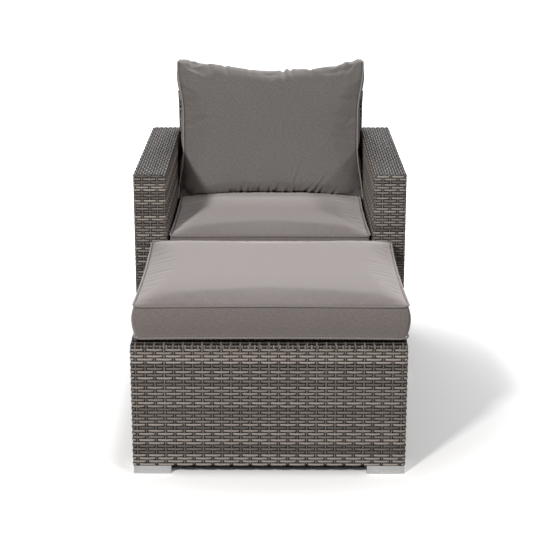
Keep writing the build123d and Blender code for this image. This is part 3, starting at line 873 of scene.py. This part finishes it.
BACK_PINCH = 50 * MM
EAR_RANGE = (0.2, 0.9)
FOOT_RANGE = (0.3, 1.0)
PINCH_START = 0.35
PINCH_END = 1.27
PINCH_SLANT = 0.43
BACK_CELL = 11 * MM
BACK_LIFT = 12 * MM
BACK_STAND = 12.3 * MM


def cut_block(cells):
    """A cube from -1 to 1, cut into cells along its three ways."""
    deselect()
    bpy.ops.mesh.primitive_cube_add(size=2)
    piece = bpy.context.object
    bpy.ops.object.mode_set(mode="EDIT")
    bpy.ops.mesh.select_mode(type="EDGE")
    for axis, count in enumerate(cells):
        bpy.ops.mesh.select_all(action="DESELECT")
        mesh = bmesh.from_edit_mesh(piece.data)
        for edge in mesh.edges:
            start, end = (vert.co for vert in edge.verts)
            edge.select_set(abs(start[axis] - end[axis]) > 0.001)
        bmesh.update_edit_mesh(piece.data)
        bpy.ops.mesh.subdivide(number_cuts=count - 1)
    bpy.ops.mesh.select_mode(type="VERT")
    bpy.ops.object.mode_set(mode="OBJECT")
    return piece


def round_corner(a, b, core_a, core_b):
    """Draws the points beyond both cores in to a round corner. Gives the points, and the way out of it."""
    over_a, over_b = np.maximum(np.abs(a) - core_a, 0.0), np.maximum(np.abs(b) - core_b, 0.0)
    size = np.maximum(np.hypot(over_a, over_b), 1e-9)
    scale = np.where(np.minimum(over_a, over_b) > 0, np.maximum(over_a, over_b) / size, 1.0)
    new_a = np.sign(a) * (np.minimum(np.abs(a), core_a) + over_a * scale)
    new_b = np.sign(b) * (np.minimum(np.abs(b), core_b) + over_b * scale)
    return new_a, new_b, np.sign(a) * over_a / size, np.sign(b) * over_b / size


def crown_share(u, v, flat=4):
    """How high a stuffed panel stands, from 0 at its seams to 1 in the middle."""
    return (np.maximum(1 - np.abs(u) ** flat, 0) * np.maximum(1 - np.abs(v) ** flat, 0)) ** FULLNESS


def box_shape(points, size, centre_y, base, bulge, rear_press, right_full):
    """Shapes a cut block as a crowned box cushion, drawn in between its corners but straight at its rear."""
    u, v, w = points.T
    half_x, half_y = size[0] / 2, size[1] / 2
    x = u * (half_x - DRAW * (1 - v ** 2))
    y = v * (half_y - np.where(v < 0, DRAW * (1 - u ** 2), 0.0))
    x, y, out_x, out_y = round_corner(x, y, half_x - CORNER, half_y - CORNER)
    swell = bulge * (1 - w ** 2)
    share = crown_share(u, v, BOX_FLATNESS)
    pressed = np.clip((v - PRESS_FROM) / PRESS_OVER, 0, 1) ** 2 * rear_press
    z = base + BASE_CROWN + (w + 1) / 2 * BOXING
    z = z + np.where(w > ON_FACE, (CROWN - pressed) * share, 0.0)
    z = z - np.where(w < -ON_FACE, BASE_CROWN * share, 0.0)
    x = x + out_x * swell + np.maximum(u, 0.0) * right_full
    return np.column_stack([x, y + out_y * swell + centre_y, z])


def ease(value, low, high):
    """Runs from 0 at low to 1 at high, with soft ends."""
    share = np.clip((value - low) / (high - low), 0.0, 1.0)
    return share ** 2 * (3 - 2 * share)


def back_half_width(v):
    """Half the back cushion's width at a height: drawn in at its waist, and wide at its ears and its foot."""
    waist = BACK_CUSHION_WIDTH / 2 - BACK_WAIST_DRAW
    return waist + BACK_EAR_SPREAD * ease(v, *EAR_RANGE) + BACK_FOOT_SPREAD * ease(-v, *FOOT_RANGE)


def back_flare(u, v, w):
    """How far the back cushion's foot spreads forward on the seat. The arms pinch its corners."""
    spread = np.maximum(-v, 0) ** 2 * (BACK_FLARE + BACK_CORNER_FLARE * u ** 4)
    corner = np.abs(u) + PINCH_SLANT * np.maximum(-v - PINCH_START, 0)
    return (w + 1) / 2 * (spread - BACK_PINCH * ease(corner, 1.0, PINCH_END))


def back_shape(points):
    """Shapes a cut block as the back cushion, in its own frame: its top edge hangs between two ears."""
    u, v, w = points.T
    half_h, half_t = BACK_CUSHION_HEIGHT / 2, BACK_BOXING / 2
    x = u * back_half_width(v)
    hang = BACK_TOP_DRAW * (1 - np.abs(u) ** HANG_POWER)
    for place, reach, depth in TOP_DIPS:
        hang = hang + depth * np.exp(-((u - place) / reach) ** 2)
    sag = np.where(v > 0, hang, -BACK_DROP - BACK_CORNER_DROP * u ** 4)
    tall = half_h - sag
    soft = np.where(v > 0, BACK_TOP_ROUND, BACK_BOTTOM_ROUND)
    radius = BACK_CORNER + (soft - BACK_CORNER) * (1 - u ** 6)
    h, t, _, _ = round_corner(v * tall, w * half_t, tall - radius, half_t - radius)
    share = crown_share(u, v) * (1 - TOP_CROWN_LOSS * v)
    t = t + np.where(w > ON_FACE, BACK_CROWN * share, 0.0)
    t = t - np.where(w < -ON_FACE, BACK_REAR_CROWN * share, 0.0)
    swell = np.sign(u) * BACK_BULGE * (1 - w ** 2) * (1 - v ** 2) ** 0.5
    x = x + np.where(np.abs(u) > ON_FACE, swell, 0.0)
    return np.column_stack([x, h, t + half_t + back_flare(u, v, w)])


def back_place():
    """Turns the back cushion's own frame into the shared one, as it leans on the back panel."""
    up = Vector((0, math.sin(BACK_LEAN), math.cos(BACK_LEAN)))
    ahead = Vector((0, -math.cos(BACK_LEAN), math.sin(BACK_LEAN)))
    panel_top = Vector((0, CHAIR_REAR - BACK_SETBACK - BACK_THICKNESS / math.cos(BACK_LEAN), BACK_HEIGHT))
    seat_seam = deck_high.z + REST_GAP + BASE_CROWN + BOXING
    middle = seat_seam + BACK_LIFT + BACK_CUSHION_HEIGHT / 2 * math.cos(BACK_LEAN)
    down = (panel_top.z + BACK_STAND * math.sin(BACK_LEAN) - middle) / math.cos(BACK_LEAN)
    origin = panel_top - up * down + ahead * BACK_STAND
    turned = Matrix((Vector((1, 0, 0)), up, ahead)).transposed().to_4x4()
    return Matrix.Translation(origin) @ turned


def stuff(piece, pinned, pressure, slack, cap):
    """Fills a cover by cloth simulation, with its seams held still, and limits how far any point moves."""
    before = read_points(piece)
    group = piece.vertex_groups.new(name="held")
    group.add([int(k) for k in np.nonzero(pinned)[0]], 1.0, "REPLACE")
    pick([piece])
    cloth = piece.modifiers.new("cloth", "CLOTH")
    settings = cloth.settings
    settings.vertex_group_mass = "held"
    for key, value in CLOTH.items():
        setattr(settings, key, value)
    settings.use_pressure = True
    settings.uniform_pressure_force = pressure
    settings.shrink_min = -slack
    settings.effector_weights.gravity = 0.0
    cloth.point_cache.frame_start = 1
    cloth.point_cache.frame_end = CLOTH_FRAMES
    for number in range(1, CLOTH_FRAMES + 1):
        bpy.context.scene.frame_set(number)
    bpy.ops.object.modifier_apply(modifier="cloth")
    bpy.context.scene.frame_set(1)
    piece.vertex_groups.clear()
    moved = read_points(piece) - before
    far = np.linalg.norm(moved, axis=1, keepdims=True)
    write_points(piece, before + moved * np.minimum(1.0, cap / np.maximum(far, 1e-9)))


def soften(piece, levels=1):
    """Subdivision, applied."""
    pick([piece])
    smooth = piece.modifiers.new("smooth", "SUBSURF")
    smooth.levels = levels
    smooth.render_levels = levels
    bpy.ops.object.modifier_apply(modifier="smooth")


def press_folds(piece, folds, facing):
    """Presses straight folds into the panels that face one way: each two ends, a width and a depth."""
    points = read_points(piece)
    normals = read_points(piece, "normal")
    front = np.clip(normals @ np.array(facing) * 2.5, 0.0, 1.0)
    push = np.zeros(len(points))
    for x1, y1, x2, y2, width, depth in folds:
        way = np.array([x2 - x1, y2 - y1])
        length = np.linalg.norm(way)
        way = way / length
        away = points[:, :2] - (x1, y1)
        along = away @ way / length
        beside = away @ np.array([-way[1], way[0]])
        fade = np.clip(1.25 - along, 0.0, 1.0) * np.clip(1 + along * 8, 0.0, 1.0)
        groove = np.exp(-(beside / width) ** 2)
        ridge = np.exp(-((beside - 1.8 * width) / width) ** 2)
        push += depth * fade * (0.6 * ridge - groove)
    write_points(piece, points + normals * (push * front)[:, None])


def lay_out_cloth(piece):
    """A UV map in metres, flat on each panel, for the weave of the cloth."""
    mesh = piece.data
    layer = mesh.uv_layers.active.data
    for face in mesh.polygons:
        x, y, z = (abs(part) for part in face.normal)
        if z >= x and z >= y:
            first, second = 0, 1
        elif x >= y:
            first, second = 1, 2
        else:
            first, second = 0, 2
        for loop in face.loop_indices:
            place = mesh.vertices[mesh.loops[loop].vertex_index].co
            layer[loop].uv = (place[first], place[second])


def seam_folds(size, centre_y):
    """Small gathers that run in from the seams of a top panel, at uneven steps."""
    half_x, half_y = size[0] / 2, size[1] / 2
    folds = []
    for _ in range(GATHERS):
        edge = random.choice(["front", "front", "left", "right", "rear"])
        place, length = random.uniform(-0.9, 0.9), random.uniform(18, 46) * MM
        slant = random.uniform(-0.5, 0.5) * length
        way = -1 if edge in ("front", "left") else 1
        if edge in ("front", "rear"):
            x, y = place * half_x, centre_y + way * (half_y - SEAM_INSET)
            x_run, y_run = slant, -way * length
        else:
            x, y = way * (half_x - SEAM_INSET), centre_y + place * half_y
            x_run, y_run = -way * length, slant
        width, depth = random.uniform(2.5, 4.5) * MM, random.uniform(0.4, 1.1) * MM
        folds.append((x, y, x + x_run, y + y_run, width, depth))
    return folds


def seam_ring(length, width, radius):
    """Points and outward normals for a welt all round a rounded rectangle."""
    around = ring_length(length, width, radius)
    steps = round(around / SEAM_STEP)
    return ring_path(length, width, radius, [k * around / steps for k in range(steps + 1)])


def make_box_cushion(label, size, rear, base, folds, bulge, rear_press, right_full):
    """A box cushion with its two welts."""
    centre_y = rear - size[1] / 2
    piece = cut_block([round(size[0] / CELL), round(size[1] / CELL), round(BOXING / CELL)])
    block = read_points(piece)
    write_points(piece, box_shape(block, size, centre_y, base, bulge, rear_press, right_full))
    edge = np.maximum(np.abs(block[:, 0]), np.abs(block[:, 1])) > ON_FACE
    seam = edge & (np.abs(block[:, 2]) > ON_FACE)
    # The seam mark also places the cloth's painted shade beside the welts
    mark_points(piece.data, "seam", seam)
    stuff(piece, seam | (block[:, 2] < -ON_FACE) | (block[:, 1] > ON_FACE), *BOX_STUFFING)
    soften(piece)
    press_folds(piece, seam_folds(size, centre_y) + folds, (0, 0, 1))
    lay_out_cloth(piece)
    finish_piece(piece, f"{label}_stuffed_cover", label, "fabric",
                 [f"{label}_cover", f"{label}_foam"], COVER_SMOOTH)
    welts = []
    ring, out = seam_ring(size[0], size[1], CORNER)
    u, v = np.clip(ring / (np.array(size) / 2), -1, 1).T
    x = ring[:, 0] + out[:, 0] * (PIPING_OUT - DRAW * (1 - v ** 2)) + np.maximum(u, 0.0) * right_full
    y = ring[:, 1] + out[:, 1] * (PIPING_OUT - np.where(v < 0, DRAW * (1 - u ** 2), 0.0))
    for height in (base + BASE_CROWN, base + BASE_CROWN + BOXING):
        path = np.column_stack([x, y + centre_y, np.full(len(x), height)])
        up = np.column_stack([out, np.zeros(len(x))])
        welts.append(lay_strand(path, up, PIPING_WIDTH, PIPING_WIDTH, closed=True, section=ROUND))
    join_strands(welts, f"{label}_welts", label, "piping", [f"{label}_piping"])


def make_back_cushion():
    """The back cushion, with one welt round each side panel."""
    cells = [round(size / BACK_CELL) for size in (BACK_CUSHION_WIDTH, BACK_CUSHION_HEIGHT, BACK_BOXING)]
    piece = cut_block(cells)
    block = read_points(piece)
    write_points(piece, back_shape(block))
    rim = np.maximum(np.abs(block[:, 1]), np.abs(block[:, 2])) > ON_FACE
    seam = (np.abs(block[:, 0]) > ON_FACE) & rim
    foot = (block[:, 1] < -ON_FACE) & (block[:, 2] < 0.5)
    # The seam mark also places the cloth's painted shade beside the welts
    mark_points(piece.data, "seam", seam)
    stuff(piece, seam | foot, *BACK_STUFFING)
    soften(piece, 2)
    press_folds(piece, LOWER_FOLDS, (0, -0.6, 1))
    press_folds(piece, UPPER_FOLDS, (0, 0.8, 1))
    lay_out_cloth(piece)
    place = back_place()
    piece.data.transform(place)
    finish_piece(piece, "back_cushion_stuffed_cover", "back_cushion", "fabric",
                 ["back_cushion_cover", "back_cushion_fill"], COVER_SMOOTH, "back_lit_fabric")
    ring, out = seam_ring(BACK_CUSHION_HEIGHT, BACK_BOXING, BACK_CORNER)
    v = np.clip(ring[:, 0] / (BACK_CUSHION_HEIGHT / 2), -1, 1)
    welts = []
    for way in (-1, 1):
        x = way * (back_half_width(v) + PIPING_OUT / 2)
        flat = ring + out * PIPING_OUT / 2
        drop = (BACK_DROP + BACK_CORNER_DROP) * np.abs(v) - FOOT_TRIM * np.abs(v) ** 8
        flat[:, 0] -= np.where(v < 0, drop, EAR_TRIM * np.abs(v) ** 8)
        flare = back_flare(1.0, v, np.clip(ring[:, 1] / (BACK_BOXING / 2), -1, 1))
        path = np.column_stack([x, flat[:, 0], flat[:, 1] + BACK_BOXING / 2 + flare])
        up = np.column_stack([np.zeros(len(x)), out])
        welts.append(lay_strand(path, up, BACK_PIPING_WIDTH, BACK_PIPING_WIDTH, closed=True, section=ROUND))
    join_strands(welts, "back_cushion_welts", "back_cushion", "piping", ["back_cushion_piping"], place,
                 finish="back_piping")


def to_metres(rows):
    return [[value * MM for value in row] for row in rows]


# Folds in millimetres: from x, y to x, y, the width and the depth
LOWER_FOLDS = to_metres([
    (-94, -212, -88, -180, 4, 3.6), (-73, -212, -64, -178, 4, 3.2), (-40, -212, -32, -180, 4, 3.4),
    (-7, -212, -2, -184, 4, 3.2), (8, -212, 32, -180, 4.5, 3.8), (46, -212, 58, -186, 4, 3.2),
    (74, -214, 82, -176, 4, 3.6), (75, -178, 93, -124, 4, 3.4), (106, -212, 134, -182, 4.5, 3.8),
    (132, -212, 180, -148, 5, 4.6), (154, -214, 172, -180, 4, 3.6), (196, -216, 216, -184, 4, 3.0),
    (-130, -212, -124, -190, 4, 2.4), (-168, -213, -170, -188, 4, 2.0), (263, 26, 236, 8, 6, 2.8),
    (263, -13, 206, -8, 7, 1.8), (263, -46, 196, -32, 7, 2.0), (-264, 60, -244, 57, 5, 1.4),
    (-264, 6, -232, 2, 6, 1.8), (-264, -42, -250, -40, 6, 1.0),
])
UPPER_FOLDS = to_metres([
    (280, 84, 220, 84, 7, 1.6), (-281, 124, -240, 98, 6, 2.6), (-262, 214, -232, 166, 6, 2.6),
    (-216, 206, -180, 164, 6, 2.6), (-150, 192, -132, 160, 5, 3.0), (278, 214, 248, 176, 6, 2.4),
    (262, 212, 204, 108, 9, 3.2), (236, 206, 210, 164, 6, 2.4), (38, 196, 42, 128, 7, 7.5),
    (56, 190, 74, 140, 6, 4.2), (120, 192, 130, 160, 5, 3.0), (-70, 188, -62, 160, 6, 2.4),
])
SEAT_FOLDS = to_metres([
    (176, -20, 192, 34, 4, 1.6), (214, -20, 226, 16, 3, 1.4), (120, -20, 130, 22, 4, 1.2),
])

make_box_cushion("seat_cushion", SEAT_SIZE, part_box("seat_cushion_cover")[1].y - BULGE,
                 deck_high.z + REST_GAP, SEAT_FOLDS, BULGE, REAR_PRESS, 0.0)
make_box_cushion("ottoman_cushion", OTTOMAN_SIZE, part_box("ottoman_cushion_cover")[1].y - BULGE,
                 ottoman_top + REST_GAP, [], OTTOMAN_BULGE, 0.0, OTTOMAN_RIGHT_FULL)
make_back_cushion()


# Light, floor and background

LIT_POINT = Vector((0.0, 0.1, 0.45))
WORLD_LEVEL = 0.04
FLOOR_BOUNCE = 0.15
FLOOR_SEEN = 0.99
# Strength of the floor's painted glow beyond the furniture, and its extra at the left
FLOOR_GLOW = 0.32
LEFT_GLOW = 0.3
FLOOR_SIDE = 30

# Where the floor's painted glow lifts it: to white away from its middle, beyond the furniture, and more at
# its left, washing out a lamp's shadow there
FLOOR_SHIFT = 0.1
WHITE_FROM = (0.6, 1.15)
UNDER_X = (0.29, 0.37)
UNDER_Y = (0.64, 0.72)
LEFT_EDGE = (-0.45, -0.37)

# Name, degrees from the front towards +X, degrees above the horizon, distance, size, power and colour
LAMPS = [
    ("left_front_lamp", -24, 29, 5.0, 0.4, 128, (1.0, 0.985, 0.965)),
    ("right_front_lamp", 35, 29, 5.0, 0.5, 46, (1.0, 0.985, 0.965)),
    ("rear_lamp", 180, 38, 4.5, 1.6, 85, (0.95, 0.97, 1.0)),
]


def add_floor():
    """A pale floor that is white away from the chair, and keeps the shadow under it. A glow seen only by the
    camera is painted light on it: extra on its left, where it washes out a lamp's shadow, and none under the
    furniture, which stays darker.
    """
    deselect()
    bpy.ops.mesh.primitive_plane_add(size=1)
    floor = bpy.context.object
    floor.name = "floor"
    floor.data.transform(Matrix.Diagonal((FLOOR_SIDE, FLOOR_SIDE, 1, 1)))
    make = Finish("floor")
    seen = make.node("ShaderNodeLightPath", output=0)
    mirrored = make.node("ShaderNodeLightPath", output=3)
    x, y, _ = make.parts(make.place())
    away = (x * x + (y + FLOOR_SHIFT) * (y + FLOOR_SHIFT)) ** 0.5
    # Painted light: a camera-only glow, none under the furniture and more on the left to wash out a lamp's
    # shadow
    under = (1 - x.size().step(*UNDER_X)) * (1 - y.size().step(*UNDER_Y))
    left = 1 - x.step(*LEFT_EDGE)
    glow = seen * (away.step(*WHITE_FROM) + FLOOR_GLOW * (1 - under) + LEFT_GLOW * left)
    grain = make.noise(make.place(), 3.0, 2.0)
    pale = (FLOOR_BOUNCE + (seen + mirrored) * (FLOOR_SEEN - FLOOR_BOUNCE)) * (0.99 + grain * 0.01)
    floor.data.materials.append(make.surface(
        Base_Color=make.vector(pale, pale, pale),
        Roughness=0.9 + grain * 0.05,
        Specular_IOR_Level=0.1,
        Emission_Color=make.vector(glow, glow, glow),
        Emission_Strength=1.0,
    ))


def add_world():
    """A background that is white to the camera and in reflections, and dim as a light."""
    world = bpy.data.worlds.new("world")
    bpy.context.scene.world = world
    world.use_nodes = True
    tree = world.node_tree
    background = tree.nodes["Background"]
    background.inputs["Color"].default_value = (1.0, 1.0, 1.0, 1.0)
    rays = tree.nodes.new("ShaderNodeLightPath")
    strength = tree.nodes.new("ShaderNodeMapRange")
    strength.inputs["To Min"].default_value = WORLD_LEVEL
    strength.inputs["To Max"].default_value = 1.0
    either = tree.nodes.new("ShaderNodeMath")
    either.operation = "MAXIMUM"
    tree.links.new(rays.outputs["Is Camera Ray"], either.inputs[0])
    tree.links.new(rays.outputs["Is Glossy Ray"], either.inputs[1])
    tree.links.new(either.outputs[0], strength.inputs["Value"])
    tree.links.new(strength.outputs["Result"], background.inputs["Strength"])


def add_lamps():
    """Square lamps that look at the chair."""
    for name, turn, rise, far, side, energy, colour in LAMPS:
        turn, rise = math.radians(turn), math.radians(rise)
        way = Vector((math.sin(turn) * math.cos(rise), -math.cos(turn) * math.cos(rise), math.sin(rise)))
        data = bpy.data.lights.new(name, "AREA")
        data.shape = "SQUARE"
        data.size = side
        data.energy = energy
        data.color = colour
        lamp = bpy.data.objects.new(name, data)
        lamp.location = LIT_POINT + way * far
        lamp.rotation_euler = (LIT_POINT - lamp.location).to_track_quat("-Z", "Y").to_euler()
        bpy.context.scene.collection.objects.link(lamp)


add_floor()
add_world()
add_lamps()
scene = bpy.context.scene
scene.view_settings.view_transform = "Standard"
